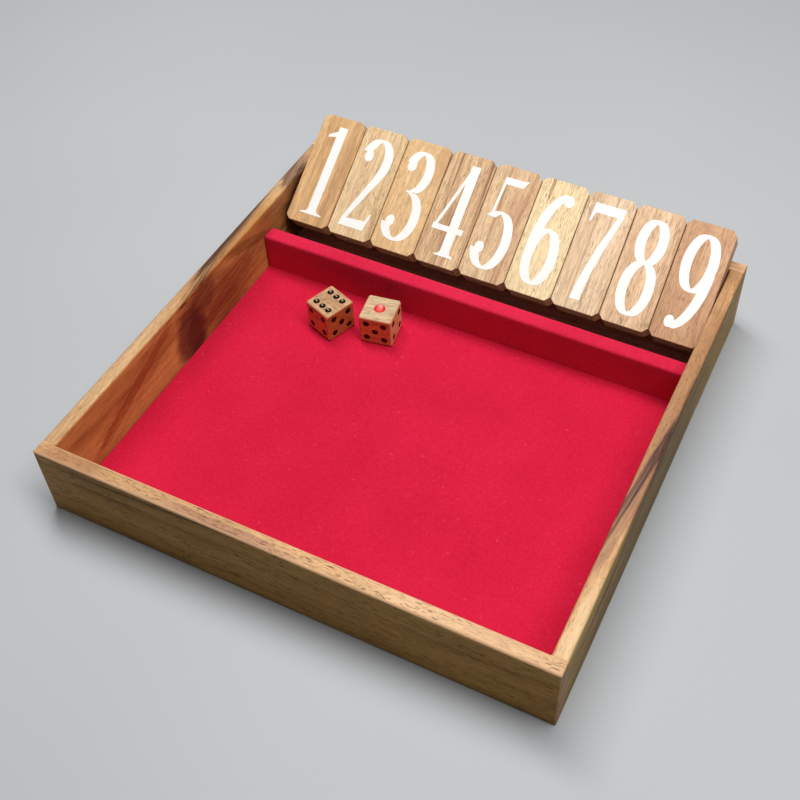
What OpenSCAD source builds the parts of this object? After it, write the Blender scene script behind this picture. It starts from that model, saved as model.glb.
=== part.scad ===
// Shut the box game: an open wooden tray with a felt floor, nine flip tiles on a steel rod
// and two dice. Millimetres, +Z up, +Y towards the tiles. The origin is the centre of the
// tray's underside.

/* [Tray] */
// Overall width, left to right
box_w = 230; // [200:1:300]
// Overall depth, front to back
box_d = 230; // [200:1:300]
// Height of the four boards
box_h = 38; // [34:0.5:44]
// Thickness of the four boards
board_t = 6.5; // [5:0.1:9]
// Rounding of the boards' outer top edges
rim_r = 1.3; // [0.4:0.1:2.4]
// Rounding of the boards' inner top edges
rim_in_r = 1; // [0.4:0.1:2]
// Rounding of the corners and the bottom outer edges
foot_r = 0.8; // [0.3:0.1:1.5]

/* [Base] */
// Thickness of the base panel, let in flush from below
panel_t = 3.2; // [2:0.1:5]
// Width of the rebate that the base panel sits in
rebate_w = 3.5; // [2.5:0.1:4.5]
// Play between the base panel's edge and its rebate
panel_play = 0.2; // [0.1:0.05:0.5]
// Thickness of the felt on the floor and the rail
felt_t = 1; // [0.5:0.1:2]
// Gap between the felt's ends and the side boards
felt_gap = 0.3; // [0.1:0.1:1]

/* [Rail] */
// Thickness of the rail with its felt, front to back
rail_t = 8; // [6:0.1:12]
// Height of the rail with its felt, above the base panel
rail_h = 22; // [16:0.5:26]
// Rounding of the felt over the rail's top edges
rail_r = 1.3; // [0.8:0.1:3]
// Distance from the rail's back face to the rod's centre
rail_to_rod = 20.8; // [18:0.1:28]

/* [Tiles] */
// Length of a tile
tile_l = 58; // [52:0.5:70]
// Thickness of a tile
tile_t = 11; // [8:0.1:12]
// Length that a tile's cut corner takes off each edge
tile_cut = 2.6; // [1:0.1:5]
// Rounding of the cut corner's two ends
tile_r = 1.2; // [0.2:0.1:3]
// Rounding of a tile's long and short edges
tile_edge_r = 0.5; // [0.2:0.1:1]
// Gap between neighbouring tiles
tile_gap = 0.4; // [0.2:0.05:1]
// Gap between the end tiles and the side boards
end_gap = 0.7; // [0.3:0.05:1.5]
// Gap between a leaning tile and the back board's edge
stop_gap = 0.15; // [0.05:0.05:0.4]

/* [Rod] */
// Diameter of the steel rod
rod_d = 4; // [3:0.1:5]
// Running clearance around the rod in a tile's bore
rod_play = 0.08; // [0.03:0.01:0.1]
// Clearance around the rod in its blind holes
seat_play = 0.03; // [0.02:0.01:0.1]
// Depth of the rod's blind holes in the side boards
rod_seat = 4; // [2.5:0.1:4.5]
// Gap at each end of the rod, in its blind hole
rod_end_gap = 0.3; // [0.1:0.1:0.5]
// Height of the rod's centre above the underside
rod_z = 23.3; // [20:0.1:26]
// Distance from the back board's inner face to the rod's centre
rod_to_back = 31.7; // [28:0.1:38]
// Distance from a tile's lower end to the rod's centre
rod_inset = 8.5; // [6:0.1:11]

/* [Dice] */
// Edge length of a die
die_s = 16; // [12:0.5:19]
// Rounding of a die's edges
die_r = 0.9; // [0.3:0.1:2]
// Diameter of the sphere that trims a die's corners
die_trim_d = 26; // [24:0.1:27.5]
// Diameter of a pip
pip_d = 3.3; // [2:0.1:3.6]
// Diameter of the single pip of the one
one_pip_d = 5.9; // [3:0.1:7]
// Depth of a pip
pip_depth = 0.5; // [0.2:0.05:0.8]
// Distance between pips, centre to centre, along an edge
pip_pitch = 4.3; // [3.8:0.1:4.6]
// Gap between a die and the felt
die_lift = 0.1; // [0.05:0.05:0.3]
// Left die: distance from the left board's inner face
left_die_x = 49.4; // [20:0.1:60]
// Left die: distance from the rail's front face
left_die_y = 21.8; // [14:0.1:60]
// Left die: turn about the vertical, degrees
left_die_turn = -20.7; // [-45:0.1:45]
// Right die: distance from the left board's inner face
right_die_x = 73.3; // [72:0.1:150]
// Right die: distance from the rail's front face
right_die_y = 16.1; // [13:0.1:60]
// Right die: turn about the vertical, degrees
right_die_turn = 8.8; // [-45:0.1:45]

/* [Fasteners] */
// Diameter of the brads that hold the base panel
brad_d = 1.4; // [1:0.1:1.6]
// Diameter of a brad's head
brad_head_d = 2.6; // [2:0.1:2.8]
// Thickness of a brad's head
brad_head_t = 0.6; // [0.4:0.1:1]
// Length of a brad
brad_l = 14; // [10:0.5:20]
// Distance between the brads along a side
brad_pitch = 90; // [70:1:92]
// Diameter of the rail screws' shanks
screw_d = 3; // [2.5:0.1:3.5]
// Diameter of the rail screws' countersunk heads
screw_head_d = 6; // [5:0.1:7]
// Length of a rail screw
screw_l = 16; // [12:0.5:19]
// Distance between the rail screws
screw_pitch = 84; // [50:1:90]
// Clearance around a fastener in its hole
fix_play = 0.03; // [0.02:0.01:0.1]
// Depth of the fasteners' heads below the underside
head_sink = 0.2; // [0.1:0.05:0.4]

/* [Hidden] */
tile_count = 9;
$fn = 48;

// Steps of the arcs that round the edges
edge_steps = 5;

// Cuts run this far past the faces they open
over = 1;

// Half sizes of the tray, outside and inside the boards
half_w = box_w / 2;
half_d = box_d / 2;
in_w = half_w - board_t;
in_d = half_d - board_t;

// Felt floor, rail and rod
felt_top = panel_t + felt_t;
rod_y = in_d - rod_to_back;
rail_back = rod_y - rail_to_rod;
rail_front = rail_back - rail_t;
rail_top = panel_t + rail_h;

// Tiles: the row fills the inner width between the end gaps
tile_w = (2 * in_w - 2 * end_gap - (tile_count - 1) * tile_gap) / tile_count;
tile_pitch = tile_w + tile_gap;

// A leaning tile's back face touches the rounded edge of the back board
edge_from_rod = [in_d + rim_in_r - rod_y, box_h - rim_in_r - rod_z];
lean = atan2(edge_from_rod[1], edge_from_rod[0])
    + asin((tile_t / 2 + rim_in_r + stop_gap) / norm(edge_from_rod));

// Fasteners: brads sit midway across the rebate
brad_x = in_w + rebate_w / 2;
brad_y = in_d + rebate_w / 2;
side_brads = [for (sx = [-1, 1], i = [-1 : 1]) [sx * brad_x, i * brad_pitch]];
end_brads = [for (sy = [-1, 1], i = [-1 : 1]) [i * brad_pitch, sy * brad_y]];
brad_spots = concat(side_brads, end_brads);
rail_mid = (rail_front + rail_back) / 2;
screw_spots = [for (i = [-1 : 1]) [i * screw_pitch, rail_mid]];
screw_head_t = (screw_head_d - screw_d) / 2;

// Pip places on a face, in units of the pip pitch, for the values one to six
PIPS = [
    [[0, 0]],
    [[-1, -1], [1, 1]],
    [[-1, -1], [0, 0], [1, 1]],
    [[-1, -1], [-1, 1], [1, -1], [1, 1]],
    [[-1, -1], [-1, 1], [0, 0], [1, -1], [1, 1]],
    [[-1, -1], [0, -1], [1, -1], [-1, 1], [0, 1], [1, 1]]
];

// Turns that bring a die's top to its top, front, right, back, left and bottom
FACE_TURNS = [[0, 0, 0], [90, 0, 0], [0, 90, 0], [-90, 0, 0], [0, -90, 0], [180, 0, 0]];

// Points of a rectangle's corner p, rounded by an arc of radius r; dir points outwards
// from the rectangle along both axes
function corner(p, r, dir, steps) =
    let (c = [p[0] - dir[0] * r, p[1] - dir[1] * r], a = atan2(dir[1], dir[0]) - 45)
    [for (i = [0 : steps]) c + r * [cos(a + 90 * i / steps), sin(a + 90 * i / steps)]];

// Outline of a rectangle from p0 to p1, with the radii of its lower left, lower right,
// upper right and upper left corners
function rounded(p0, p1, r, steps) = concat(
    corner([p0[0], p0[1]], r[0], [-1, -1], steps),
    corner([p1[0], p0[1]], r[1], [1, -1], steps),
    corner([p1[0], p1[1]], r[2], [1, 1], steps),
    corner([p0[0], p1[1]], r[3], [-1, 1], steps)
);

// Points of a rectangle's corner p, cut at 45 degrees and rounded where the cut ends
function cut_corner(p, cut, r, dir, steps) =
    let (near = r, far = cut + (sqrt(2) - 1) * r, a = atan2(dir[1], dir[0]) - 45,
        by_side = [p[0] - dir[0] * near, p[1] - dir[1] * far],
        by_end = [p[0] - dir[0] * far, p[1] - dir[1] * near],
        centres = dir[0] * dir[1] > 0 ? [by_side, by_end] : [by_end, by_side])
    [for (j = [0, 1], i = [0 : steps])
        centres[j] + r * [cos(a + 45 * (j + i / steps)), sin(a + 45 * (j + i / steps))]];

// Outline of a rectangle from p0 to p1 with four cut corners
function clipped(p0, p1, cut, r, steps) = concat(
    cut_corner([p0[0], p0[1]], cut, r, [-1, -1], steps),
    cut_corner([p1[0], p0[1]], cut, r, [1, -1], steps),
    cut_corner([p1[0], p1[1]], cut, r, [1, 1], steps),
    cut_corner([p0[0], p1[1]], cut, r, [-1, 1], steps)
);

// Extrudes an outline drawn in Y and Z along X, centred
module along_x(l) {
    rotate([90, 0, 90]) linear_extrude(l, center = true) children();
}

// Extrudes an outline drawn in X and Z along Y, centred
module along_y(l) {
    rotate([90, 0, 0]) linear_extrude(l, center = true) children();
}

// A front or back board, drawn as the back one: it spans the full width, and caps the
// side boards' ends
module end_board() {
    sharp = 0.02;
    difference() {
        intersection() {
            along_x(box_w) polygon(rounded(
                [in_d, 0], [half_d, box_h], [sharp, foot_r, rim_r, sharp], edge_steps));
            linear_extrude(box_h) polygon(rounded(
                [-half_w, in_d], [half_w, half_d], [sharp, sharp, foot_r, foot_r], edge_steps));
            along_y(2 * box_d) polygon(rounded(
                [-half_w, 0], [half_w, box_h], [foot_r, foot_r, foot_r, foot_r], edge_steps));
        }
        along_x(2 * in_w) inner_rim_waste();
        translate([-in_w - rebate_w, in_d - over, -over])
            cube([2 * (in_w + rebate_w), rebate_w + over, panel_t + over]);
        brad_holes();
    }
}

// Section of what the rounding takes off an end board's inner rim, between the side boards
module inner_rim_waste() {
    arc = corner([in_d, box_h], rim_in_r, [-1, 1], edge_steps);
    polygon(concat([[in_d - over, box_h + over], [in_d - over, box_h - rim_in_r]],
        [for (i = [edge_steps : -1 : 0]) arc[i]], [[in_d + rim_in_r, box_h + over]]));
}

// A side board, drawn as the right one: it sits between the front and back boards
module side_board() {
    sharp = 0.02;
    difference() {
        along_y(2 * in_d) polygon(rounded(
            [in_w, 0], [half_w, box_h], [sharp, foot_r, rim_r, rim_in_r], edge_steps));
        translate([in_w - over, -in_d - over, -over])
            cube([rebate_w + over, 2 * (in_d + over), panel_t + over]);
        translate([in_w - over, rod_y, rod_z])
            rotate([0, 90, 0]) cylinder(h = rod_seat + over, d = rod_d + 2 * seat_play);
        brad_holes();
    }
}

module front_board() {
    color("peru") mirror([0, 1, 0]) end_board();
}

module back_board() {
    color("burlywood") end_board();
}

module left_board() {
    color("tan") mirror([1, 0, 0]) side_board();
}

module right_board() {
    color("tan") side_board();
}

// Brads and the holes that they fill in the panel and the boards
module brad(play) {
    translate([0, 0, head_sink]) cylinder(h = brad_l, d = brad_d + 2 * play);
    translate([0, 0, head_sink]) cylinder(h = brad_head_t, d = brad_head_d + 2 * play);
}

module brad_holes() {
    for (p = brad_spots) translate(p) {
        brad(fix_play);
        translate([0, 0, -over]) cylinder(h = over + head_sink, d = brad_head_d + 2 * fix_play);
    }
}

module base_brads() {
    color("lightgray") for (p = brad_spots) translate(p) brad(0);
}

// Countersunk screws that hold the rail from below, and their holes
module rail_screw(play) {
    translate([0, 0, head_sink]) {
        cylinder(h = screw_l, d = screw_d + 2 * play);
        cylinder(h = screw_head_t, d1 = screw_head_d + 2 * play, d2 = screw_d + 2 * play);
    }
}

module screw_holes() {
    for (p = screw_spots) translate(p) {
        rail_screw(fix_play);
        translate([0, 0, -over])
            cylinder(h = over + head_sink, d = screw_head_d + 2 * fix_play);
    }
}

module rail_screws() {
    color("silver") for (p = screw_spots) translate(p) rail_screw(0);
}

module base_panel() {
    edge = rebate_w - panel_play;
    color("wheat") difference() {
        translate([-in_w - edge, -in_d - edge, 0])
            cube([2 * (in_w + edge), 2 * (in_d + edge), panel_t]);
        brad_holes();
        screw_holes();
    }
}

module floor_felt() {
    color("crimson") translate([-in_w + felt_gap, -in_d, panel_t])
        cube([2 * (in_w - felt_gap), rail_front + in_d, felt_t]);
}

// Section of the rail: the core, or the core with its felt
module rail_section(inset) {
    r = max(rail_r - inset, 0.2);
    polygon(rounded([rail_front + inset, panel_t], [rail_back - inset, rail_top - inset],
        [0.02, 0.02, r, r], edge_steps + 3));
}

module rail_core() {
    color("sienna") difference() {
        along_x(2 * (in_w - felt_gap)) rail_section(felt_t);
        screw_holes();
    }
}

module rail_felt() {
    color("crimson") along_x(2 * (in_w - felt_gap)) difference() {
        rail_section(0);
        translate([rail_front + felt_t, 0]) square([rail_t - 2 * felt_t, panel_t + over]);
        rail_section(felt_t);
    }
}

module axle_rod() {
    color("silver") translate([0, rod_y, rod_z]) rotate([0, 90, 0])
        cylinder(h = 2 * (in_w + rod_seat - rod_end_gap), d = rod_d, center = true);
}

// A tile about the rod's centre, lying flat, with its numbered face up
module flat_tile() {
    lo = [-tile_w / 2, -rod_inset, -tile_t / 2];
    hi = [tile_w / 2, tile_l - rod_inset, tile_t / 2];
    e = [tile_edge_r, tile_edge_r, tile_edge_r, tile_edge_r];
    difference() {
        intersection() {
            linear_extrude(tile_t, center = true) polygon(clipped(
                [lo[0], lo[1]], [hi[0], hi[1]], tile_cut, tile_r, edge_steps));
            along_x(tile_w) polygon(rounded([lo[1], lo[2]], [hi[1], hi[2]], e, edge_steps));
            along_y(2 * tile_l) polygon(rounded([lo[0], lo[2]], [hi[0], hi[2]], e, edge_steps));
        }
        rotate([0, 90, 0])
            cylinder(h = tile_w + 2 * over, d = rod_d + 2 * rod_play, center = true);
    }
}

// Tile number i, counted from the left
module tile(i) {
    tones = ["tan", "burlywood", "peru", "sienna", "rosybrown"];
    color(tones[i % 5])
        translate([(i - (tile_count + 1) / 2) * tile_pitch, rod_y, rod_z])
        rotate([lean, 0, 0]) flat_tile();
}

// A hollow spherical dimple of diameter d, cut into the face at z = 0
module dimple(d) {
    r = (d * d / 4 + pip_depth * pip_depth) / (2 * pip_depth);
    translate([0, 0, r - pip_depth]) sphere(r);
}

// A die centred on the origin; values are those of its top, front, right, back, left
// and bottom
module die(values) {
    s = die_s / 2;
    r = [die_r, die_r, die_r, die_r];
    difference() {
        intersection() {
            linear_extrude(die_s, center = true) polygon(rounded([-s, -s], [s, s], r, edge_steps));
            along_x(die_s) polygon(rounded([-s, -s], [s, s], r, edge_steps));
            along_y(die_s) polygon(rounded([-s, -s], [s, s], r, edge_steps));
            sphere(d = die_trim_d * die_s / 16);
        }
        for (f = [0 : 5]) rotate(FACE_TURNS[f])
            for (p = PIPS[values[f] - 1])
                translate([p[0] * pip_pitch, p[1] * pip_pitch, s])
                    dimple(values[f] == 1 ? one_pip_d : pip_d);
    }
}

module die_left() {
    color("tan") translate([-in_w + left_die_x, rail_front - left_die_y,
        felt_top + die_lift + die_s / 2]) rotate(left_die_turn) die([6, 4, 5, 3, 2, 1]);
}

module die_right() {
    color("tan") translate([-in_w + right_die_x, rail_front - right_die_y,
        felt_top + die_lift + die_s / 2]) rotate(right_die_turn) die([1, 5, 4, 2, 3, 6]);
}

front_board();
back_board();
left_board();
right_board();
base_panel();
floor_felt();
rail_core();
rail_felt();
axle_rod();
for (i = [1 : tile_count]) tile(i);
die_left();
die_right();
base_brads();
rail_screws();
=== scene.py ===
"""Shut the box game: a hardwood tray with a felt floor and a felt-covered rail, nine tiles
on a steel rod, and two dice. The boards, the base, the rail's core, the tiles, the rod, the
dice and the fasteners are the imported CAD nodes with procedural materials. The felt, the
painted numerals and the enamel in the pips are meshes made here. Lengths are in metres, +Z
is up and +Y points towards the tiles. Where the photo's light and shadow colour a side, its
tint or a dark stain stands in for them.
"""
import math
from collections import namedtuple

import bmesh
import bpy
from mathutils import Matrix, Vector, noise
from mathutils.geometry import delaunay_2d_cdt


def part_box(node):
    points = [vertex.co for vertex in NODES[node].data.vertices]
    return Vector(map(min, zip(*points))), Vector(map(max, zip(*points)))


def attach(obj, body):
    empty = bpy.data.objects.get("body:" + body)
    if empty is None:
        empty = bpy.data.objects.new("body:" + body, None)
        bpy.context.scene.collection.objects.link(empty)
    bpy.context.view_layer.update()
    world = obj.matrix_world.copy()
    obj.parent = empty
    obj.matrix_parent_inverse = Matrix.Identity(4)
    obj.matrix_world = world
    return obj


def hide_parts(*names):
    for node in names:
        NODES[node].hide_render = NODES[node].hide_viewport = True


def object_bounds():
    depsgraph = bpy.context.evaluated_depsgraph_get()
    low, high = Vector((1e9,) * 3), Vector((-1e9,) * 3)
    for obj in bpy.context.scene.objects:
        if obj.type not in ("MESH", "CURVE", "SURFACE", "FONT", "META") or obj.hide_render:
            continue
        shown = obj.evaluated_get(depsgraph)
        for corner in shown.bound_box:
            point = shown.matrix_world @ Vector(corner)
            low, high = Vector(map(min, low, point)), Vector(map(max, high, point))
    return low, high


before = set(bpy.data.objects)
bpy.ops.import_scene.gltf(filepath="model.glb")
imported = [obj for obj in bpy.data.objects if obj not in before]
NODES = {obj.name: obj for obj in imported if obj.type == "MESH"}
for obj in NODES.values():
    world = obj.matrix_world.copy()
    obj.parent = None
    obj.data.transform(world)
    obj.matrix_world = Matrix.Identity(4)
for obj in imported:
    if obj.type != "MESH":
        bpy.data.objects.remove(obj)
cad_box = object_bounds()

MM = 0.001
SHARP_ANGLE = math.radians(50)
X, Y, Z = Vector((1, 0, 0)), Vector((0, 1, 0)), Vector((0, 0, 1))

# Felt: the waves are cycles per metre and their shares, the curl is how far cut edges rise,
# and the end gap how far the rail's felt reaches past the CAD's solid at each end
FELT_T = 1.0 * MM
FELT_CELL = 2.0 * MM
FELT_EDGE_STEPS = [0.0, 0.2 * MM, 0.5 * MM, 0.9 * MM, 1.4 * MM, 2.0 * MM, 2.6 * MM]
FELT_RELIEF = 0.05 * MM
FELT_WAVES = [(90, 1.0), (260, 0.6)]
FELT_CURL = 0.9 * MM
RAIL_CURL = 1.3 * MM
FELT_CURL_REACH = 2.6 * MM
RAIL_ROUND = 1.3 * MM
RAIL_ROUND_STEPS = 6
RAIL_SIDE_STEPS = 8
RAIL_END_ROUND = 0.98 * MM
RAIL_END_STEPS = 5
RAIL_END_GAP = 0.15 * MM
FELT_CLOUDS = 30
FELT_NAP = 900
FELT_HAIRS = (500, 1900, 700)
FELT_SPECKS = 620
NAP_DEPTH = 0.12 * MM

# Numerals: a broad nib that is wide across the tile and thin along it, and serifs whose
# height is a share of the numeral's. Slivers below the least area, in square metres, are
# left out, and points that are closer than MERGE become one
NUMERAL_W = 16.5 * MM
NUMERAL_H = 47.5 * MM
NIB_ACROSS = 2.35 * MM
NIB_ALONG = 0.6 * MM
SERIF = 0.024
PAINT_T = 0.08 * MM
PAINT_SINK = 0.03 * MM
PAINT_EDGE = 0.03 * MM
PAINT_CLOUDS = 260
PAINT_GRAIN = 1400
PAINT_DEPTH = 0.02 * MM
LEAST_AREA = 1e-11
MERGE = 1e-6

# Dice: pips as in the CAD, and enamel that rises above their bottom, is a thin film and
# reaches out to a share of each pip's radius
PIP_PITCH = 4.3 * MM
PIP_D = 3.3 * MM
ONE_PIP_D = 5.9 * MM
PIP_DEPTH = 0.5 * MM
ENAMEL_RISE = 0.05 * MM
ENAMEL_FILM = 0.07 * MM
ENAMEL_REACH = 0.96
ONE_ENAMEL_REACH = 0.93
PIP_SPOTS = {
    1: [(0, 0)],
    2: [(-1, -1), (1, 1)],
    3: [(-1, -1), (0, 0), (1, 1)],
    4: [(-1, -1), (-1, 1), (1, -1), (1, 1)],
    5: [(-1, -1), (-1, 1), (0, 0), (1, -1), (1, 1)],
    6: [(-1, -1), (0, -1), (1, -1), (-1, 1), (0, 1), (1, 1)],
}
# Turns about X, then Y, that bring a die's top to its top, front, right, back, left, bottom
FACE_TURNS = [(0, 0), (90, 0), (0, 90), (-90, 0), (0, -90), (180, 0)]

# Wood: the scales of its noises, in cycles per metre along the grain, across it and
# through it, then the pith line's distance from the piece's middle and how far rings wander.
# A side's tint begins and is full at these cosines of the angle to its normal
BEND = (8, 20, 20)
CLOUDS = (16, 70, 70)
FIBRES = (90, 2400, 2400)
FLECKS = (170, 1100, 1100)
STRIPES = (9, 620, 620)
STRIPE_DRIFT = (24, 90, 90)
DASHES = (330, 2600, 2600)
DASH_DRIFT = (40, 170, 170)
STAIN_EDGE = (70, 260, 260)
STAIN_LINES = (14, 900, 900)
STEEL_LINES = (60, 3000, 3000)
PITH_ACROSS = 45 * MM
PITH_THROUGH = 60 * MM
RING_WANDER = 16 * MM
TONE_SPREAD = 0.17
ROUGHNESS = 0.5
GLOSS = 0.4
OUTSIDE_GLOSS = 0.25
GRAIN_DEPTH = 0.05 * MM
JOINT_LINE = 0.3 * MM
JOINT_CORE = 0.1 * MM
SIDE_BEGINS = 0.6
SIDE_FULL = 0.9
FIRST_STAIN_SEED = 11
FIRST_TILE_SEED = 20

# Camera: axes, place in millimetres, and focal length and optical centre in pixels
CAMERA_RIGHT = Vector((0.900268, 0.435213, -0.010344))
CAMERA_DOWN = Vector((0.314074, -0.665772, -0.676835))
CAMERA_AHEAD = Vector((-0.301454, 0.606084, -0.736062))
CAMERA_PLACE = Vector((165.9, -303.5, 410.1))
PICTURE = 800
FOCAL = 1171.6
CENTRE_X, CENTRE_Y = 445.7, 356.8
SENSOR = 36

# Floor and light
FLOOR_SIZE = 8
FLOOR_CLOUDS = 3
SKY = (0.9, 0.95, 1.0, 1.0)
SKY_STRENGTH = 0.1
SOFTBOX_PLACE = Vector((0.06, 0.09, 0.95))
SOFTBOX_AIM = Vector((0.02, 0, 0))
SOFTBOX_SIZE = (1.3, 0.26)
SOFTBOX_POWER = 14.8


# ---------------------------------------------------------------- colours and shader nodes

def rgb(red, green, blue):
    """A linear colour from sRGB values of 0 to 255."""
    def linear(value):
        share = value / 255
        return share / 12.92 if share <= 0.04045 else ((share + 0.055) / 1.055) ** 2.4
    return (linear(red), linear(green), linear(blue), 1.0)


WHITE = (1.0, 1.0, 1.0, 1.0)
PORE = rgb(74, 44, 28)
STREAK = rgb(120, 78, 52)
PALE_WEAR_AND_HIGHLIGHT = rgb(214, 170, 132)
OIL = rgb(255, 236, 210)
LINT = rgb(236, 120, 130)
SHEEN = rgb(255, 120, 140)
FLOOR_FELT = (rgb(182, 15, 45), rgb(194, 20, 53), rgb(204, 28, 62))
RAIL_FELT = (rgb(184, 22, 52), rgb(197, 28, 61), rgb(208, 37, 71))
NUMERAL_WHITE = rgb(240, 238, 232)
BLACK_ENAMEL, BLACK_SHINE = rgb(12, 8, 7), rgb(255, 222, 176)
# The red enamel's middle colour is a painted highlight in the big pip's bowl
RED_ENAMEL, RED_PAINTED_HIGHLIGHT = rgb(206, 22, 36), rgb(220, 92, 84)
STEEL_DARK, STEEL_LIGHT = rgb(150, 150, 152), rgb(196, 196, 198)
FLOOR_DARK, FLOOR_LIGHT = rgb(170, 172, 174), rgb(176, 178, 180)


class Shading:
    """One material, with short calls that add and link its nodes."""

    def __init__(self, name, roughness=ROUGHNESS):
        self.material = bpy.data.materials.new(name)
        self.material.use_nodes = True
        self.nodes = self.material.node_tree.nodes
        self.links = self.material.node_tree.links
        self.surface = self.nodes["Principled BSDF"]
        self.put("Roughness", roughness)

    def connect(self, socket, value):
        if isinstance(value, bpy.types.NodeSocket):
            self.links.new(value, socket)
        else:
            socket.default_value = value

    def node(self, kind, inputs, **settings):
        made = self.nodes.new(kind)
        for name, value in settings.items():
            setattr(made, name, value)
        for key, value in inputs.items():
            self.connect(made.inputs[key], value)
        return made

    def math(self, operation, first, second=0.0):
        return self.node("ShaderNodeMath", {0: first, 1: second}, operation=operation).outputs[0]

    def plus(self, first, second):
        return self.math("ADD", first, second)

    def minus(self, first, second):
        return self.math("SUBTRACT", first, second)

    def times(self, first, second):
        return self.math("MULTIPLY", first, second)

    def vector(self, operation, first, second):
        made = self.node("ShaderNodeVectorMath", {0: first, 1: second}, operation=operation)
        return made.outputs["Value" if operation == "DOT_PRODUCT" else "Vector"]

    def length(self, vector):
        return self.node("ShaderNodeVectorMath", {0: vector}, operation="LENGTH").outputs["Value"]

    def split(self, vector):
        return self.node("ShaderNodeSeparateXYZ", {"Vector": vector}).outputs

    def joined(self, x, y, z):
        return self.node("ShaderNodeCombineXYZ", {0: x, 1: y, 2: z}).outputs[0]

    def place(self):
        return self.node("ShaderNodeTexCoord", {}).outputs["Object"]

    def noise(self, vector, scale=1.0, detail=2.0, roughness=0.5, distortion=0.0):
        values = {"Vector": vector, "Scale": scale, "Detail": detail,
                  "Roughness": roughness, "Distortion": distortion}
        return self.node("ShaderNodeTexNoise", values).outputs[0]

    def line_noise(self, value, detail, roughness):
        values = {"W": value, "Scale": 1.0, "Detail": detail, "Roughness": roughness}
        return self.node("ShaderNodeTexNoise", values, noise_dimensions="1D").outputs[0]

    def span(self, value, low, high, to_low=0.0, to_high=1.0):
        """Value carried from low..high to to_low..to_high, smoothly and without passing them."""
        values = {0: value, 1: low, 2: high, 3: to_low, 4: to_high}
        made = self.node("ShaderNodeMapRange", values, interpolation_type="SMOOTHSTEP")
        return made.outputs[0]

    def ramp(self, value, stops):
        made = self.node("ShaderNodeValToRGB", {0: value})
        elements = made.color_ramp.elements
        while len(elements) < len(stops):
            elements.new(0.5)
        for element, (position, colour) in zip(elements, stops):
            element.position = position
            element.color = colour
        return made.outputs[0]

    def mix(self, share, first, second, blend="MIX"):
        """Two colours mixed. The node's sockets for colours are its inputs 6 and 7."""
        made = self.node("ShaderNodeMix", {}, data_type="RGBA", blend_type=blend)
        self.connect(made.inputs[0], share)
        self.connect(made.inputs[6], first)
        self.connect(made.inputs[7], second)
        return made.outputs[2]

    def shaded(self, colour, shade):
        """A colour times a shade of grey."""
        return self.mix(1.0, colour, self.joined(shade, shade, shade), "MULTIPLY")

    def bump(self, height, depth):
        values = {"Height": height, "Strength": 1.0, "Distance": depth}
        self.put("Normal", self.node("ShaderNodeBump", values).outputs[0])

    def put(self, socket, value):
        """Sets or links one of the surface's own sockets."""
        self.connect(self.surface.inputs[socket], value)

    def colour(self, value):
        self.put("Base Color", value)


# ---------------------------------------------------------------- wood

Stain = namedtuple("Stain", "centre reach tint strength slope lean lines", defaults=(0.0, 0.0, 0.0))
# A side's tint is painted light and shade; gloss scales its specular
Side = namedtuple("Side", "normal tint gloss", defaults=(1.0,))


def in_grain(shading, vector, grain):
    """A vector in the axes of a grain matrix: X along the grain, Y across, Z through."""
    axes = grain.to_3x3().transposed()
    return shading.joined(*(shading.vector("DOT_PRODUCT", vector, axis) for axis in axes))


def grain_space(shading, grain):
    """Object coordinates from the piece's middle, in the axes of its grain."""
    return in_grain(shading, shading.vector("SUBTRACT", shading.place(), grain.translation), grain)


def grain_noise(shading, place, scales, seed, detail, roughness=0.5):
    """Noise in grain space. The seed moves it to a part of its own."""
    scaled = shading.vector("MULTIPLY", place, Vector(scales))
    moved = shading.vector("ADD", scaled, Vector((seed * 3.1, seed * 7.7, seed * 5.3)))
    return shading.noise(moved, detail=detail, roughness=roughness)


def stain_mask(shading, place, stain, seed):
    """1 inside a ragged oval and 0 well outside it. slope and lean shear the oval across and
    through the piece, and lines is how far it breaks up into fine lines."""
    offset = shading.vector("SUBTRACT", place, Vector(stain.centre) * MM)
    along, across, through = shading.split(offset)
    across = shading.minus(across, shading.times(along, stain.slope))
    through = shading.minus(through, shading.times(along, stain.lean))
    sheared = shading.joined(along, across, through)
    far = shading.length(shading.vector("DIVIDE", sheared, Vector(stain.reach) * MM))
    wave = grain_noise(shading, place, STAIN_EDGE, seed, detail=4, roughness=0.6)
    mask = shading.span(shading.plus(far, wave), 1.6, 1.05)
    if stain.lines:
        streaks = grain_noise(shading, sheared, STAIN_LINES, seed + 1, detail=2)
        mask = shading.times(mask, shading.span(streaks, 0.42, 0.58, 1 - stain.lines, 1.0))
    return mask


def growth_rings(shading, place, seed, ring):
    """Noise of the distance from a pith line outside the piece, bent slowly along it."""
    bend = grain_noise(shading, place, BEND, seed, detail=3)
    _, across, through = shading.split(place)
    from_pith = shading.joined(0.0, shading.plus(across, PITH_ACROSS),
                               shading.plus(through, PITH_THROUGH))
    radius = shading.plus(shading.length(from_pith), shading.times(bend, RING_WANDER))
    return shading.line_noise(shading.times(radius, 1 / (ring * MM)), detail=3, roughness=0.6)


def edge_share(shading, normal, grain, worn):
    """How pale the wear and painted highlight are: on rounded edges only, with one value for
    those that face up and one for the others. Where a side is flat its normal lies along an
    axis of the grain."""
    turned = in_grain(shading, normal, grain)
    squared = shading.vector("MULTIPLY", turned, turned)
    flatness = shading.vector("DOT_PRODUCT", squared, squared)
    up, others = worn
    pale = shading.span(shading.vector("DOT_PRODUCT", normal, Z), 0.05, 0.3, others, up)
    return shading.times(shading.span(flatness, 0.95, 0.7), pale)


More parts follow.
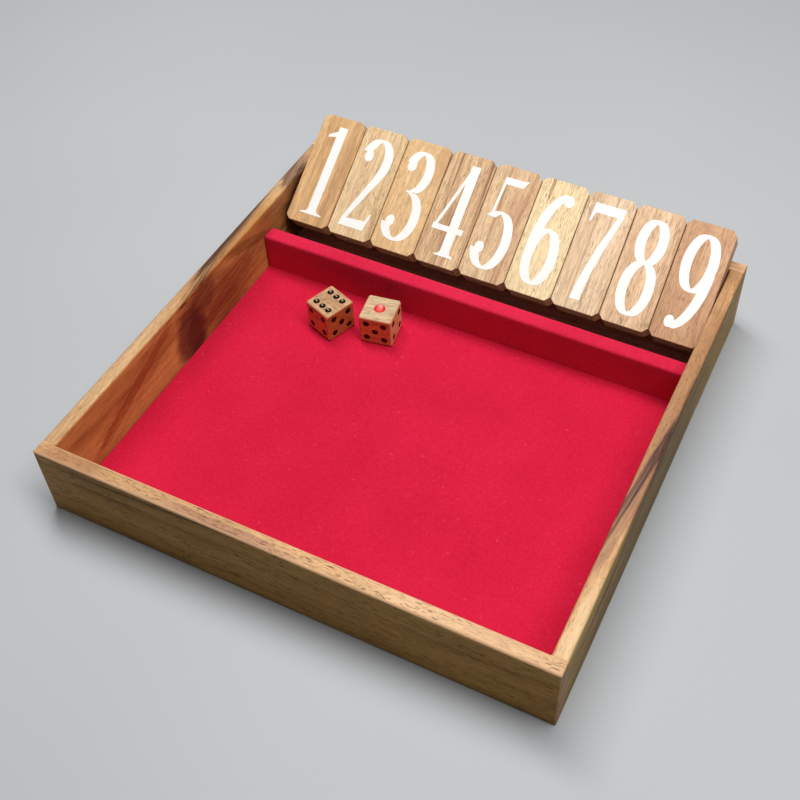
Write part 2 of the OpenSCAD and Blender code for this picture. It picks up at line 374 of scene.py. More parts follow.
def wood(name, grain, tones, seed, ring=4.0, contrast=1.0, pores=0.3, stripes=0.0, stains=(),
         sides=(), joint=None, worn=None):
    """Oiled hardwood: growth rings, soft clouds, fibres, pores and stripes along the grain,
    stains where they are given, among them painted shadows and a painted highlight, and a tint
    of painted light and shade for each side that is given by its normal. ring and the stains'
    places are in millimetres. joint is the distance from the piece's middle at which a glue
    line crosses the grain, and the last argument is how pale the rounded edges are, from wear
    and a painted highlight."""
    shading = Shading(name)
    place = grain_space(shading, grain)
    light, middle, dark = tones

    rings = growth_rings(shading, place, seed, ring)
    cloud = grain_noise(shading, place, CLOUDS, seed + 2, detail=3)
    tone = shading.plus(shading.times(rings, 0.5), shading.times(cloud, 0.5))
    spread = TONE_SPREAD / contrast
    colour = shading.ramp(tone, [(0.5 - spread, dark), (0.5, middle), (0.5 + spread, light)])

    # Fine fibres and flecks
    fibres = grain_noise(shading, place, FIBRES, seed + 3, detail=3)
    flecks = grain_noise(shading, place, FLECKS, seed + 8, detail=3)
    shade = shading.times(shading.span(fibres, 0.3, 0.7, 0.9, 1.07),
                          shading.span(flecks, 0.35, 0.65, 0.88, 1.09))
    colour = shading.shaded(colour, shade)

    # Stripes along the grain
    lines = grain_noise(shading, place, STRIPES, seed + 6, detail=2)
    drift = grain_noise(shading, place, STRIPE_DRIFT, seed + 7, detail=1)
    stripe = shading.times(shading.span(lines, 0.5, 0.68),
                           shading.span(drift, 0.35, 0.6, 0.3, 1.0))
    colour = shading.mix(shading.times(stripe, stripes), colour, STREAK)

    for stain_seed, stain in enumerate(stains, start=seed + FIRST_STAIN_SEED):
        mask = stain_mask(shading, place, stain, stain_seed)
        veined = shading.times(mask, shading.span(fibres, 0.25, 0.75, 0.75, 1.0))
        colour = shading.mix(shading.times(veined, stain.strength), colour, stain.tint)

    # Pores: short dark dashes, in drifts
    dashes = grain_noise(shading, place, DASHES, seed + 4, detail=1)
    drifts = grain_noise(shading, place, DASH_DRIFT, seed + 5, detail=1)
    pore = shading.times(shading.span(dashes, 0.57, 0.66),
                         shading.span(drifts, 0.35, 0.65, 0.45, 1.0))
    colour = shading.mix(shading.times(pore, pores), colour, PORE)

    if joint is not None:
        distance = shading.math("ABSOLUTE", shading.split(place)[0])
        line = shading.span(distance, joint - JOINT_LINE, joint - JOINT_CORE, 0.0, 0.15)
        colour = shading.mix(line, colour, PORE)

    normal = shading.node("ShaderNodeTexCoord", {}).outputs["Normal"]
    gloss = GLOSS
    # Side tints: painted light and shade by the way each side faces
    for side in sides:
        turned = shading.vector("DOT_PRODUCT", normal, side.normal)
        tinted = shading.mix(1.0, colour, (*side.tint, 1.0), "MULTIPLY")
        colour = shading.mix(shading.span(turned, SIDE_BEGINS, SIDE_FULL), colour, tinted)
        dulled = shading.span(turned, SIDE_BEGINS, SIDE_FULL, 1.0, side.gloss)
        gloss = shading.times(gloss, dulled)
    # Pale rounded edges: wear, with a painted highlight on those that face up
    if worn:
        colour = shading.mix(edge_share(shading, normal, grain, worn), colour, PALE_WEAR_AND_HIGHLIGHT)

    shading.colour(colour)
    shading.bump(shading.minus(shading.times(fibres, 0.4), pore), GRAIN_DEPTH)
    polish = shading.span(rings, 0.3, 0.7, ROUGHNESS + 0.05, ROUGHNESS - 0.04)
    shading.put("Roughness", shading.plus(polish, shading.times(pore, 0.2)))
    shading.put("Specular IOR Level", gloss)
    shading.put("Specular Tint", OIL)
    return shading.material


# ---------------------------------------------------------------- other materials

def felt(name, tones):
    """Wool felt: matted fibres, a faint nap and a few pale specks of lint. tones are its
    dark, middle and light colours."""
    shading = Shading(name, 0.95)
    place = shading.place()
    cloud = shading.noise(place, FELT_CLOUDS, detail=3)
    nap = shading.noise(place, FELT_NAP, detail=3, roughness=0.65, distortion=0.8)
    stretched = shading.vector("MULTIPLY", place, Vector(FELT_HAIRS))
    hairs = shading.noise(stretched, detail=2, distortion=1.5)
    tone = shading.plus(shading.times(nap, 0.7), shading.times(cloud, 0.3))
    colour = shading.ramp(tone, list(zip((0.34, 0.5, 0.68), tones)))
    specks = shading.noise(place, FELT_SPECKS, detail=0)
    lint = shading.span(specks, 0.8, 0.88)
    shading.colour(shading.mix(shading.times(lint, 0.12), colour, LINT))
    shading.bump(shading.plus(nap, hairs), NAP_DEPTH)
    shading.put("Specular IOR Level", 0.15)
    shading.put("Sheen Weight", 0.25)
    shading.put("Sheen Roughness", 0.5)
    shading.put("Sheen Tint", SHEEN)
    return shading.material


def paint(name, colour, roughness, coat=0.0, middle=None, shine=WHITE):
    """Paint with a faint unevenness in its tone and surface. middle is a painted highlight, its
    colour at the bottom of a bowl, and shine the tint of its highlights."""
    shading = Shading(name, roughness)
    place = shading.place()
    if middle:
        # A painted highlight: the middle colour fills the bowl's bottom
        rim = shading.node("ShaderNodeAttribute", {}, attribute_name="rim").outputs["Fac"]
        colour = shading.mix(shading.span(rim, 0.35, 0.75), middle, colour)
    cloud = shading.noise(place, PAINT_CLOUDS, detail=3)
    shading.colour(shading.shaded(colour, shading.span(cloud, 0.3, 0.7, 0.94, 1.0)))
    shading.bump(shading.noise(place, PAINT_GRAIN, detail=2), PAINT_DEPTH)
    shading.put("Specular Tint", shine)
    shading.put("Coat Weight", coat)
    shading.put("Coat Roughness", 0.08)
    return shading.material


def steel(name, grain, roughness):
    """Drawn steel with fine lines along its length."""
    shading = Shading(name)
    lines = grain_noise(shading, grain_space(shading, grain), STEEL_LINES, 1, detail=2)
    shading.colour(shading.ramp(lines, [(0.3, STEEL_DARK), (0.7, STEEL_LIGHT)]))
    shading.put("Roughness", shading.span(lines, 0.3, 0.7, roughness, roughness + 0.12))
    shading.put("Metallic", 1.0)
    return shading.material


def dress(node, material):
    """Gives a CAD node's object its material."""
    for slot in NODES[node].material_slots:
        slot.material = material


def dress_wood(node, along, across, tones, seed, **figure):
    """Gives a CAD node wood whose grain runs along one axis of the frame."""
    dress(node, wood(node, grain_frame(node, along, across), tones, seed, **figure))


# ---------------------------------------------------------------- places from the CAD nodes

def largest_normal(node, wanted):
    """Normal of the node's largest face among those that point roughly along wanted."""
    facing = [p for p in NODES[node].data.polygons if p.normal.dot(wanted) > 0.5]
    return max(facing, key=lambda p: p.area).normal.copy()


def tile_frame(node):
    """Matrix of a tile's numbered face: X across, Y along it upwards, Z out of it."""
    normal = largest_normal(node, (Z - Y).normalized())
    along = X.cross(normal) * -1
    corners = [vertex.co for vertex in NODES[node].data.vertices]

    def middle(axis):
        reach = [axis.dot(corner) for corner in corners]
        return (min(reach) + max(reach)) / 2

    face = max(normal.dot(corner) for corner in corners)
    centre = X * middle(X) + along * middle(along) + normal * face
    return Matrix.LocRotScale(centre, Matrix((X, along, normal)).transposed(), None)


def die_frame(node):
    """Matrix of a die's middle, turned as it lies."""
    low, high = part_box(node)
    front = largest_normal(node, -Y)
    turn = math.atan2(front.x, -front.y)
    return Matrix.Translation((low + high) / 2) @ Matrix.Rotation(turn, 4, "Z")


def grain_frame(node, along, across):
    """Matrix of a node's grain about its middle: X along the grain, Y across it."""
    low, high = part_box(node)
    axes = Matrix((along, across, along.cross(across))).transposed()
    return Matrix.LocRotScale((low + high) / 2, axes, None)


# ---------------------------------------------------------------- mesh helpers

def piece(name, mesh_data, material, body, smooth=True):
    """An object made from a bmesh, which rides on a body."""
    mesh = bpy.data.meshes.new(name)
    mesh_data.to_mesh(mesh)
    mesh_data.free()
    mesh.materials.append(material)
    if smooth:
        mesh.shade_smooth()
        mesh.set_sharp_from_angle(angle=SHARP_ANGLE)
    made = bpy.data.objects.new(name, mesh)
    bpy.context.collection.objects.link(made)
    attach(made, body)
    return made


def solidify(made, thickness, offset=-1):
    modifier = made.modifiers.new("thickness", "SOLIDIFY")
    modifier.thickness = thickness
    modifier.offset = offset


# ---------------------------------------------------------------- numerals

def arc(centre, radii, start, end, steps=22):
    """Points of an elliptical arc from one angle to another, in degrees."""
    turns = [math.radians(start + (end - start) * i / steps) for i in range(steps + 1)]
    return [(centre[0] + radii[0] * math.cos(t), centre[1] + radii[1] * math.sin(t)) for t in turns]


def on_tile(point):
    """A point of the numeral's unit square, in metres from its middle."""
    return Vector(((point[0] - 0.5) * NUMERAL_W, (point[1] - 0.5) * NUMERAL_H))


def stroke(points, weight=(1.0, 1.0)):
    """Polygons of a broad-nib stroke along points. weight scales the nib's width across the
    tile, from the stroke's start to its end."""
    path = [on_tile(p) for p in points]
    last = len(path) - 1
    rims, polygons = [], []
    for i, point in enumerate(path):
        ahead = (path[min(i + 1, last)] - path[max(i - 1, 0)]).normalized()
        wide = NIB_ACROSS * (weight[0] + (weight[1] - weight[0]) * i / last)
        pull = Vector((-wide * wide * ahead.y, NIB_ALONG * NIB_ALONG * ahead.x))
        reach = pull / math.hypot(wide * ahead.y, NIB_ALONG * ahead.x)
        rims.append((point + reach, point - reach))
    for (a, b), (c, d) in zip(rims, rims[1:]):
        polygons += [[a, b, d], [a, d, c]]
    return polygons


def oval(centre, across, along, steps=20):
    """Polygon of an ellipse about a point of the unit square, with half sizes in metres."""
    middle = on_tile(centre)
    turns = [2 * math.pi * i / steps for i in range(steps)]
    return [middle + Vector((across * math.cos(t), along * math.sin(t))) for t in turns]


def ball(centre):
    """The round end of a stroke."""
    return oval(centre, NIB_ACROSS * 0.98, NIB_ACROSS * 1.25)


def shape(*points):
    """Polygon of points of the unit square."""
    return [on_tile(p) for p in points]


def foot(middle, half):
    """A flat serif with a bracket that runs up into its stem."""
    stem = NIB_ACROSS / NUMERAL_W
    right_side = [(half, SERIF * 0.6), (stem * 1.25, SERIF * 1.3), (stem, SERIF * 2.6)]
    left_side = [(-out, up) for out, up in reversed(right_side)]
    corners = [(-half, 0.0), (half, 0.0)] + right_side + left_side
    return shape(*((middle + out, up) for out, up in corners))


def one():
    return stroke([(0.54, 0.0), (0.54, 1.0)]) + [
        foot(0.54, 0.36),
        shape((0.14, 0.865), (0.41, 0.885), (0.60, 0.965), (0.67, 1.0), (0.56, 1.0), (0.40, 0.945),
              (0.14, 0.895))]


def two():
    bowl = arc((0.47, 0.755), (0.37, 0.23), 160, -28)
    sweep = [(0.797, 0.647), (0.70, 0.545), (0.52, 0.40), (0.33, 0.235), (0.17, 0.09), (0.12, 0.03)]
    return stroke(bowl) + stroke(sweep, (0.98, 0.4)) + [
        ball((0.2, 0.79)),
        shape((0.04, 0.0), (0.88, 0.0), (0.98, 0.19), (0.93, 0.19), (0.84, 0.105), (0.16, 0.085))]


def three():
    upper = arc((0.44, 0.77), (0.33, 0.217), 158, -84)
    lower = arc((0.42, 0.275), (0.43, 0.262), 84, -158)
    return stroke(upper) + stroke(lower) + [
        shape((0.30, 0.534), (0.50, 0.534), (0.50, 0.558), (0.30, 0.558)),
        ball((0.18, 0.82)), ball((0.145, 0.2))]


def four():
    return stroke([(0.66, 0.0), (0.66, 1.0)]) + stroke([(0.62, 0.985), (0.08, 0.3)], (0.34, 0.34)) + [
        shape((0.0, 0.26), (0.98, 0.26), (0.98, 0.32), (0.0, 0.32)), foot(0.66, 0.3)]


def five():
    bowl = arc((0.42, 0.315), (0.43, 0.302), 128, -158)
    return stroke([(0.215, 0.985), (0.155, 0.555)], (0.28, 0.28)) + stroke(bowl) + [
        ball((0.145, 0.215)),
        shape((0.185, 0.915), (0.78, 0.915), (0.9, 1.0), (0.855, 1.0), (0.80, 0.99), (0.19, 0.99))]


def six():
    back = arc((0.86, 0.40), (0.72, 0.585), 100, 182)
    bowl = arc((0.50, 0.30), (0.36, 0.287), 0, 360, 40)
    return stroke(back) + stroke(bowl) + [ball((0.77, 0.92))]


def seven():
    leg = [(0.90, 0.93), (0.78, 0.76), (0.62, 0.53), (0.50, 0.30), (0.44, 0.13), (0.42, 0.0)]
    return stroke(leg, (0.55, 1.05)) + [
        shape((0.03, 0.8), (0.08, 0.8), (0.15, 0.9), (0.94, 0.9), (0.98, 1.0), (0.05, 1.0))]


def eight():
    return (stroke(arc((0.5, 0.765), (0.30, 0.222), 0, 360, 40))
            + stroke(arc((0.5, 0.283), (0.365, 0.27), 0, 360, 40)))


def nine():
    return [[-point for point in polygon] for polygon in six()]


def union(polygons):
    """Points and triangles of the union of overlapping polygons."""
    points, faces = [], []
    for polygon in polygons:
        area = sum(a.cross(b) for a, b in zip(polygon, polygon[1:] + polygon[:1])) / 2
        if abs(area) < LEAST_AREA:
            continue
        faces.append(list(range(len(points), len(points) + len(polygon))))
        points += polygon if area > 0 else polygon[::-1]
    made, _, triangles, _, _, sources = delaunay_2d_cdt(points, [], faces, 0, MERGE)
    return made, [t for t, source in zip(triangles, sources) if source]


def numeral(number, polygons, material):
    """A painted numeral on its tile, as a thin raised film."""
    points, triangles = union(polygons)
    film = bmesh.new()
    corners = [film.verts.new((p.x, p.y, -PAINT_SINK)) for p in points]
    for triangle in triangles:
        film.faces.new([corners[i] for i in triangle])
    loose = [v for v in film.verts if not v.link_faces]
    bmesh.ops.delete(film, geom=loose, context="VERTS")
    bmesh.ops.transform(film, matrix=tile_frame(f"tile_{number}"), verts=film.verts)
    made = piece(f"numeral_{number}", film, material, f"tile_{number}", smooth=False)
    solidify(made, PAINT_T + PAINT_SINK, offset=1)
    edge = made.modifiers.new("edge", "BEVEL")
    edge.width = PAINT_EDGE
    edge.segments = 2


# ---------------------------------------------------------------- dice

def pip_bowls(node, ones):
    """Mesh of the enamel in a die's pips: the single big pip, or all the others."""
    frame_of_die = die_frame(node)
    low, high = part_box(node)
    half = (high.z - low.z) / 2
    bowls = bmesh.new()
    for value, (about_x, about_y) in zip(DICE[node].values, FACE_TURNS):
        if (value == 1) != ones:
            continue
        turn_x = Matrix.Rotation(math.radians(about_x), 4, "X")
        turn_y = Matrix.Rotation(math.radians(about_y), 4, "Y")
        face = frame_of_die @ turn_y @ turn_x
        for across, along in PIP_SPOTS[value]:
            place = face @ Matrix.Translation((across * PIP_PITCH, along * PIP_PITCH, half))
            if ones:
                add_bowl(bowls, place, ONE_PIP_D, ONE_ENAMEL_REACH)
            else:
                add_bowl(bowls, place, PIP_D, ENAMEL_REACH)
    return bowls


def add_bowl(bowls, place, diameter, reach, rings=7, steps=24):
    """A film that follows a spherical dimple, out to a share of its radius."""
    sphere = (diameter ** 2 / 4 + PIP_DEPTH ** 2) / (2 * PIP_DEPTH)
    rim = bowls.verts.layers.float.get("rim") or bowls.verts.layers.float.new("rim")
    middle = bowls.verts.new(place @ Vector((0, 0, ENAMEL_RISE - PIP_DEPTH)))
    inner = None
    for ring in range(1, rings + 1):
        radius = diameter / 2 * reach * ring / rings
        height = sphere - PIP_DEPTH - math.sqrt(sphere ** 2 - radius ** 2) + ENAMEL_RISE
        outer = []
        for i in range(steps):
            turn = 2 * math.pi * i / steps
            point = Vector((radius * math.cos(turn), radius * math.sin(turn), height))
            corner = bowls.verts.new(place @ point)
            corner[rim] = ring / rings
            outer.append(corner)
        for i in range(steps):
            following = (i + 1) % steps
            if inner:
                bowls.faces.new((inner[i], outer[i], outer[following], inner[following]))
            else:
                bowls.faces.new((middle, outer[i], outer[following]))
        inner = outer


def enamel(node, black, red):
    """The enamel in a die's pips: red in the single big pip, black in the others."""
    for ones, colour, material in ((False, "black", black), (True, "red", red)):
        made = piece(f"{node}_{colour}_pips", pip_bowls(node, ones), material, node)
        solidify(made, ENAMEL_FILM)


# ---------------------------------------------------------------- felt

def relief(point):
    """Small unevenness of laid felt at a point."""
    return FELT_RELIEF * sum(share * noise.noise(point * waves) for waves, share in FELT_WAVES)


def graded(low, high):
    """Places from low to high, close together at both ends."""
    first, last = low + FELT_EDGE_STEPS[-1], high - FELT_EDGE_STEPS[-1]
    cells = round((last - first) / FELT_CELL)
    inside = [first + (last - first) * i / cells for i in range(1, cells)]
    return ([low + step for step in FELT_EDGE_STEPS] + inside
            + [high - step for step in reversed(FELT_EDGE_STEPS)])


def edge_rise(x, y, low, high):
    """How far the floor's felt curls up at its edges, and a little more at the rail."""
    def curl(height, distance):
        return height * max(1 - distance / FELT_CURL_REACH, 0.0) ** 2

    return max(curl(FELT_CURL, min(x - low.x, high.x - x, y - low.y)), curl(RAIL_CURL, high.y - y))


def floor_felt(material):
    """The floor's felt: one sheet glued down, curled up at its cut edges."""
    low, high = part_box("floor_felt")
    sheet = bmesh.new()
    across, along = graded(low.x, high.x), graded(low.y, high.y)
    top = []
    for y in along:
        row = []
        for x in across:
            point = Vector((x, y, high.z))
            point.z += min(relief(point), 0.0) + edge_rise(x, y, low, high)
            row.append(sheet.verts.new(point))
        top.append(row)
    for below, above in zip(top, top[1:]):
        for i in range(len(across) - 1):
            sheet.faces.new((below[i], below[i + 1], above[i + 1], above[i]))
    rim = (top[0] + [row[-1] for row in top[1:]] + top[-1][-2::-1]
           + [row[0] for row in top[-2:0:-1]])
    bottom = [sheet.verts.new((corner.co.x, corner.co.y, low.z)) for corner in rim]
    for i in range(len(rim)):
        following = (i + 1) % len(rim)
        sheet.faces.new((rim[i], bottom[i], bottom[following], rim[following]))
    sheet.faces.new(bottom[::-1])
    made = piece("floor_felt_sheet", sheet, material, "tray")
    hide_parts("floor_felt")


def rail_profile(low, high, inset):
    """Outline of the felt over the rail, from its front foot over the top to its back foot."""
    front, back, top = low.y + inset, high.y - inset, high.z - inset
    shoulder = top - RAIL_ROUND
    rise = [(shoulder - low.z) * i / RAIL_SIDE_STEPS for i in range(RAIL_SIDE_STEPS + 1)]
    radii = (RAIL_ROUND, RAIL_ROUND)
    points = [(front, low.z + height) for height in rise[:-1]]
    points += arc((front + RAIL_ROUND, shoulder), radii, 180, 90, RAIL_ROUND_STEPS)
    points += arc((back - RAIL_ROUND, shoulder), radii, 90, 0, RAIL_ROUND_STEPS)
    points += [(back, shoulder - height) for height in rise[1:]]
    return points


def rail_felt(material):
    """The felt over the rail, folded over its two ends."""
    low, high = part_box("rail_felt")
    middle = (low.y + high.y) / 2
    end = high.x + RAIL_END_GAP
    stations = []
    for i in range(RAIL_END_STEPS + 1):
        turn = math.pi / 2 * i / RAIL_END_STEPS
        stations.append((end - RAIL_END_ROUND * (1 - math.sin(turn)),
                         RAIL_END_ROUND * (1 - math.cos(turn))))
    straight_end = stations[0][0]
    columns = round(2 * straight_end / FELT_CELL)
    straight = [(straight_end * (2 * i / columns - 1), 0.0) for i in range(1, columns)]
    left = [(-x, inset) for x, inset in reversed(stations)]
    sheet = bmesh.new()
    rings = []
    for x, inset in left + straight + stations:
        ring = []
        for y, z in rail_profile(low, high, inset):
            point = Vector((x, y, z))
            swell = min(relief(point), 0.0)
            inwards = Vector((0, swell if y > middle else -swell, swell))
            ring.append(sheet.verts.new(point + inwards))
        rings.append(ring)
    for first, second in zip(rings, rings[1:]):
        for i in range(len(first) - 1):
            sheet.faces.new((first[i], first[i + 1], second[i + 1], second[i]))
    sheet.faces.new(rings[0][::-1])
    sheet.faces.new(rings[-1])
    bmesh.ops.recalc_face_normals(sheet, faces=sheet.faces)
    made = piece("rail_felt_wrap", sheet, material, "tray")
    solidify(made, FELT_T)
    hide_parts("rail_felt")


# ---------------------------------------------------------------- stage

def camera():
    """The photograph's view: from the front, a little to the right and well above."""
    data = bpy.data.cameras.new("camera")
    data.sensor_width = SENSOR
    data.lens = FOCAL * SENSOR / PICTURE
    data.shift_x = (PICTURE / 2 - CENTRE_X) / PICTURE
    data.shift_y = (CENTRE_Y - PICTURE / 2) / PICTURE
    data.clip_start = 0.01
    axes = Matrix((CAMERA_RIGHT, -CAMERA_DOWN, -CAMERA_AHEAD)).transposed()
    made = bpy.data.objects.new("camera", data)
    made.matrix_world = Matrix.LocRotScale(CAMERA_PLACE * MM, axes, None)
    bpy.context.collection.objects.link(made)
    bpy.context.scene.camera = made


def floor():
    """A plain pale floor."""
    shading = Shading("floor", 0.8)
    cloud = shading.noise(shading.place(), FLOOR_CLOUDS, detail=2)
    shading.colour(shading.ramp(cloud, [(0.3, FLOOR_DARK), (0.7, FLOOR_LIGHT)]))
    bpy.ops.mesh.primitive_plane_add(size=FLOOR_SIZE, location=(0, 0, cad_box[0].z))
    made = bpy.context.object
    made.name = "floor"
    made.data.materials.append(shading.material)


def lights():
    """A faint sky and one long softbox above the tiles."""
    world = bpy.data.worlds.new("world")
    world.use_nodes = True
    world.node_tree.nodes["Background"].inputs["Color"].default_value = SKY
    world.node_tree.nodes["Background"].inputs["Strength"].default_value = SKY_STRENGTH
    bpy.context.scene.world = world
    data = bpy.data.lights.new("softbox", "AREA")
    data.shape = "RECTANGLE"
    data.size, data.size_y = SOFTBOX_SIZE
    data.energy = SOFTBOX_POWER
    made = bpy.data.objects.new("softbox", data)
    made.location = SOFTBOX_PLACE
    made.rotation_mode = "QUATERNION"
    made.rotation_quaternion = (SOFTBOX_AIM - SOFTBOX_PLACE).to_track_quat("-Z", "Y")
    bpy.context.collection.objects.link(made)
    bpy.context.scene.view_settings.view_transform = "Standard"


# ---------------------------------------------------------------- the object

# Woods: light, middle and dark tones
TAN = (rgb(210, 166, 118), rgb(196, 150, 104), rgb(164, 120, 80))
HONEY = (rgb(238, 196, 150), rgb(222, 178, 134), rgb(190, 148, 108))
AMBER = (rgb(200, 160, 116), rgb(186, 144, 100), rgb(158, 114, 76))
# The dice: tan wood with a painted red reflection of the felt, which their top's tint takes back to
# tan
DICE_WOOD_AND_PAINTED_REFLECTION = (rgb(212, 140, 88), rgb(196, 122, 74), rgb(160, 92, 54))
PLYWOOD = (rgb(212, 190, 168), rgb(202, 178, 154), rgb(182, 154, 128))
DARK_FIGURE = rgb(74, 40, 38)

# Tints of sides, which multiply the wood's colour: painted light and shade
# Ends: darker end grain, with painted shade
END_GRAIN_PAINTED_SHADE = (0.42, 0.36, 0.32)
BOARD_END_PAINTED_SHADE = (0.52, 0.46, 0.28)
# Outer faces: painted shade
PAINTED_SHADE_OUTSIDE = (0.66, 0.63, 0.33)
PAINTED_SHADE_RIGHT_OUTSIDE = (0.64, 0.68, 0.42)
# Inside the left board: a painted red reflection of the felt
PAINTED_REFLECTION_LEFT_INSIDE = (1.16, 0.94, 0.6)

# Stains of the boards, and where marked painted shadows and a painted highlight, in
# millimetres from the board's middle: along its grain, up its height, and through it. Each
# one's place in its list is part of its seed
FRONT_STAINS = [
    Stain((-66, 16, 3), (60, 2.2, 2.2), rgb(60, 34, 16), 0.9, 0.05, 0.0, 0.9),
    Stain((-78, 8, 3), (30, 1.2, 2.5), rgb(84, 54, 26), 0.7, 0.03, 0.0, 0.9),
    Stain((-98, 19, 0), (16, 5, 6), rgb(150, 96, 56), 0.6),
    Stain((-24, 19, 1.2), (34, 3, 2.4), rgb(132, 78, 76), 0.9, 0.0, 0.02, 0.4),
    Stain((-60, 19, -0.5), (60, 3, 5), rgb(150, 104, 68), 0.45, 0.0, 0.0, 0.6),
    Stain((76, 19, 0), (50, 3, 6), rgb(222, 184, 146), 0.6, 0.0, 0.0, 0.3),
]
LEFT_STAINS_AND_SHADOWS = [
    Stain((-17, -3, 3.2), (12, 24, 2.5), DARK_FIGURE, 0.95),
    Stain((-5, 10, 3.2), (13, 11, 2.5), DARK_FIGURE, 0.8, 0.2, 0.0, 0.3),
    Stain((14, -4, 3.2), (30, 16, 2.5), rgb(108, 46, 30), 0.75, 0.2, 0.0, 0.5),
    Stain((34, 12, 3.2), (24, 3.5, 2.5), rgb(84, 44, 30), 0.85, -0.34, 0.0, 0.4),
    Stain((56, 16, 3.2), (24, 3, 2.5), rgb(96, 54, 34), 0.6, -0.2, 0.0, 0.5),
    Stain((48, 19, 2.0), (28, 5, 1.8), rgb(208, 168, 104), 0.7, 0.0, -0.02, 0.3),
    Stain((18, 19, 0.5), (46, 6, 5), rgb(158, 98, 48), 0.75, 0.0, -0.02, 0.4),
    Stain((-2, 19, 1.2), (24, 6, 2.6), rgb(62, 30, 16), 1.0, 0.0, -0.14, 0.9),
    Stain((16, 19, 0.6), (18, 6, 1.6), rgb(84, 42, 22), 1.0, 0.0, -0.12, 0.9),
    Stain((32, 19, -1.6), (44, 6, 2.6), rgb(56, 28, 18), 1.0, 0.0, -0.02, 0.6),
    Stain((85, 19, 0), (17, 6, 5), rgb(80, 50, 50), 0.95, 0.0, -0.18, 0.3),
    # Painted shadow on the inner face behind the rail, below tile 1
    Stain((96, 3, 3.2), (35, 27, 2.5), rgb(24, 12, 8), 0.97),
    Stain((-60, 2, 3.2), (40, 9, 2.5), rgb(128, 58, 30), 0.75, 0.42, 0.0, 0.8),
    Stain((60, 8, 3.2), (22, 13, 2.5), rgb(122, 58, 38), 0.6, 0.0, 0.0, 0.3),
    Stain((104, 19, 0), (14, 6, 5), rgb(170, 126, 98), 0.55, 0.0, 0.0, 0.3),
    # Painted shadow on the inner face behind the rail, under tile 1
    Stain((83, -2, 3.2), (20, 20, 2.5), rgb(28, 18, 14), 0.8),
    Stain((-13, -5, 3.2), (9, 15, 2.5), rgb(48, 20, 26), 0.8, 0.2, 0.0, 0.3),
    Stain((4, 3, 3.2), (20, 20, 2.5), rgb(84, 34, 26), 0.55, -0.3, 0.0, 0.6),
]
RIGHT_STAINS_AND_HIGHLIGHT = [
    Stain((20, 19, 0), (86, 14, 9), rgb(146, 100, 70), 0.75, 0.0, 0.0, 0.3),
    Stain((-30, 18, 0.5), (48, 9, 4), rgb(136, 92, 80), 0.7, 0.0, 0.08, 0.7),
    Stain((-24, -10, 3.3), (100, 22, 1.6), rgb(130, 100, 62), 0.95, 0.13, 0.0, 0.2),
    Stain((-40, 10, 3.3), (84, 4.5, 2), rgb(84, 58, 38), 0.85, 0.13, 0.0, 0.4),
    Stain((-22, 18, 0), (50, 9, 2.6), rgb(62, 34, 38), 1.0, 0.0, 0.1, 0.9),
    Stain((-40, 18, -2.4), (46, 9, 1.6), rgb(120, 74, 62), 0.8, 0.0, 0.04, 0.9),
    # Painted highlight on the front of the rounded top edge
    Stain((-98, 22, 2.0), (34, 9, 5), rgb(226, 194, 152), 0.6, 0.1),
]

# Colours of the tiles: light, middle and dark tones, the stripes' and pores' strength, and
# stains in millimetres from the middle of the face: along the tile, across it, through it
TILES = {
    1: ((rgb(222, 182, 132), rgb(210, 168, 118), rgb(184, 138, 92)), 0.15, 0.25,
        [Stain((0, 7, 0), (60, 2.6, 30), rgb(164, 122, 92), 0.6, 0.0, 0.0, 0.4)]),
    2: ((rgb(232, 204, 162), rgb(220, 188, 144), rgb(196, 158, 116)), 0.3, 0.4,
        [Stain((0, -5, 0), (40, 2, 30), rgb(204, 164, 126), 0.5, 0.02, 0.0, 0.4)]),
    3: ((rgb(224, 186, 138), rgb(216, 177, 127), rgb(202, 160, 108)), 0.12, 0.35,
        [Stain((22, 9, 0), (16, 4, 30), rgb(186, 136, 100), 0.5)]),
    4: ((rgb(240, 206, 160), rgb(218, 182, 140), rgb(172, 130, 96)), 0.9, 0.5,
        [Stain((-8, 2, 0), (30, 6, 30), rgb(146, 100, 78), 0.8, 0.02, 0.0, 0.8)]),
    5: ((rgb(228, 200, 160), rgb(214, 178, 138), rgb(178, 132, 95)), 0.3, 0.4,
        [Stain((-2, 7, 0), (24, 5, 30), rgb(190, 142, 112), 0.6, -0.2, 0.0, 0.3)]),
    6: ((rgb(240, 217, 174), rgb(232, 206, 161), rgb(210, 179, 134)), 0.12, 0.55,
        [Stain((25, -6, 0), (10, 0.9, 30), rgb(140, 98, 62), 0.7)]),
    7: ((rgb(230, 202, 168), rgb(224, 193, 157), rgb(208, 172, 136)), 0.35, 0.4,
        [Stain((0, -7, 0), (34, 4, 30), rgb(204, 166, 130), 0.6, 0.06, 0.0, 0.9)]),
    8: ((rgb(232, 196, 158), rgb(220, 183, 146), rgb(192, 152, 116)), 0.3, 0.5, []),
    9: ((rgb(206, 160, 124), rgb(196, 150, 114), rgb(176, 132, 98)), 0.15, 0.35,
        [Stain((4, 3, 0), (34, 3, 30), rgb(214, 174, 132), 0.6)]),
}

# Dice: the values of their faces in the order of FACE_TURNS, a seed, the tints of their top,
# front and right sides, where the top's takes the wood back to tan and the others are painted
# light and shade, and how pale their edges are from wear and a painted highlight: those that
# face up, and the others
Die = namedtuple("Die", "values seed top front right worn")
DICE = {
    "die_left": Die((6, 4, 5, 3, 2, 1), 41,
                    (0.94, 1.5, 2.2), (1.5, 1.5, 1.8), (1.0, 0.75, 0.6), (0.3, 0.0)),
    "die_right": Die((1, 5, 4, 2, 3, 6), 47,
                     (1.0, 1.95, 3.2), (1.25, 0.95, 1.0), (1.45, 2.2, 3.0), (0.3, 0.3)),
}


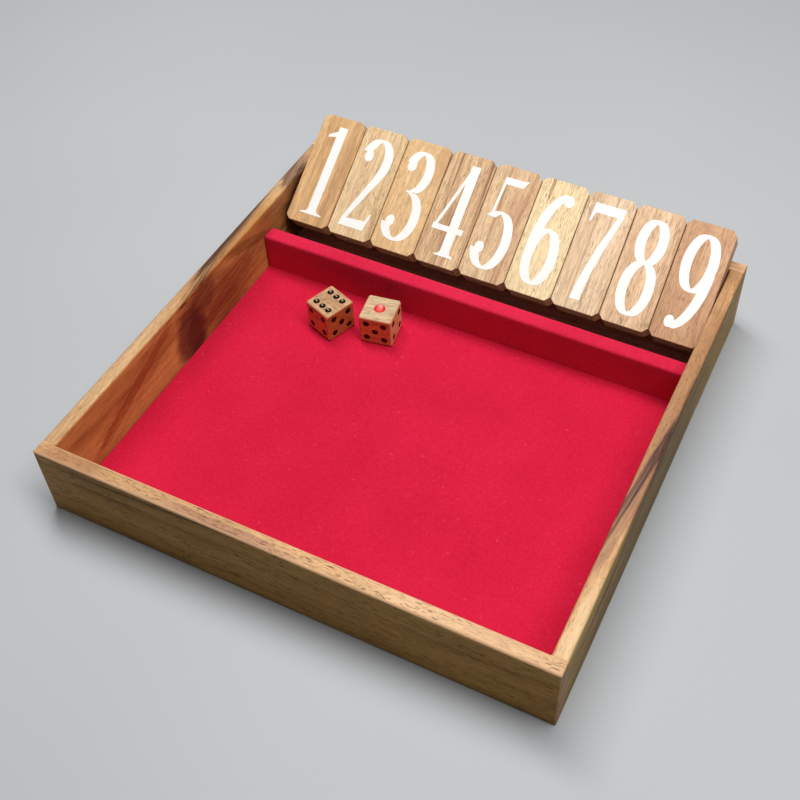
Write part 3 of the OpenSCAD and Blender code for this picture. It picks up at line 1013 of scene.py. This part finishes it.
def board_materials():
    """Materials of the four boards. The glue line lies where the side boards end."""
    ends = [Side(X, BOARD_END_PAINTED_SHADE), Side(-X, BOARD_END_PAINTED_SHADE)]
    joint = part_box("right_board")[1].y
    dress_wood("front_board", X, Z, TAN, 3, pores=0.7, stains=FRONT_STAINS,
               sides=ends + [Side(-Y, PAINTED_SHADE_OUTSIDE, OUTSIDE_GLOSS)], worn=(0.7, 0.0))
    dress_wood("back_board", X, Z, HONEY, 5, pores=0.7,
               sides=ends + [Side(Y, PAINTED_SHADE_OUTSIDE, OUTSIDE_GLOSS)])
    dress_wood("left_board", Y, Z, AMBER, 11, contrast=1.3, stains=LEFT_STAINS_AND_SHADOWS, joint=joint,
               sides=[Side(X, PAINTED_REFLECTION_LEFT_INSIDE), Side(-X, PAINTED_SHADE_OUTSIDE, OUTSIDE_GLOSS)])
    dress_wood("right_board", Y, Z, TAN, 17, pores=0.4, stains=RIGHT_STAINS_AND_HIGHLIGHT, joint=joint,
               sides=[Side(X, PAINTED_SHADE_RIGHT_OUTSIDE, OUTSIDE_GLOSS)])


def tile_materials():
    for number, (tones, stripes, pores, stains) in TILES.items():
        name = f"tile_{number}"
        face = tile_frame(name)
        along, out = face.col[1].xyz, face.col[2].xyz
        axes = Matrix((along, X, -out)).transposed()
        grain = Matrix.LocRotScale(face.translation, axes, None)
        ends = [Side(along, END_GRAIN_PAINTED_SHADE), Side(-along, END_GRAIN_PAINTED_SHADE)]
        dress(name, wood(name, grain, tones, FIRST_TILE_SEED + number, stripes=stripes,
                         pores=pores, stains=stains, sides=ends))


def other_materials():
    """Materials of the dice, the rail, the base, the rod and the fasteners."""
    for name, die in DICE.items():
        grain = die_frame(name)
        right, back = grain.col[0].xyz, grain.col[1].xyz
        # Painted light and shade on the dice's sides, over the painted red reflection in their tones
        sides = [Side(Z, die.top), Side(-back, die.front), Side(right, die.right)]
        dress(name, wood(name, grain, DICE_WOOD_AND_PAINTED_REFLECTION, die.seed, ring=2.5, contrast=0.6, pores=0.6,
                         sides=sides, worn=die.worn))
    dress_wood("rail_core", X, Z, TAN, 51)
    dress_wood("base_panel", X, Y, PLYWOOD, 53)
    dress("axle_rod", steel("axle_rod", grain_frame("axle_rod", X, Z), 0.3))
    for name in ("base_brads", "rail_screws"):
        dress(name, steel(name, grain_frame(name, Z, X), 0.35))


def build():
    camera()
    floor()
    lights()
    board_materials()
    tile_materials()
    other_materials()
    floor_felt(felt("floor_felt", FLOOR_FELT))
    rail_felt(felt("rail_felt", RAIL_FELT))
    white = paint("white_paint", NUMERAL_WHITE, 0.4)
    glyphs = (one, two, three, four, five, six, seven, eight, nine)
    for number, glyph in enumerate(glyphs, start=1):
        numeral(number, glyph(), white)
    black = paint("black_enamel", BLACK_ENAMEL, 0.17, shine=BLACK_SHINE)
    red = paint("red_enamel", RED_ENAMEL, 0.3, coat=0.2, middle=RED_PAINTED_HIGHLIGHT)
    for node in DICE:
        enamel(node, black, red)


build()
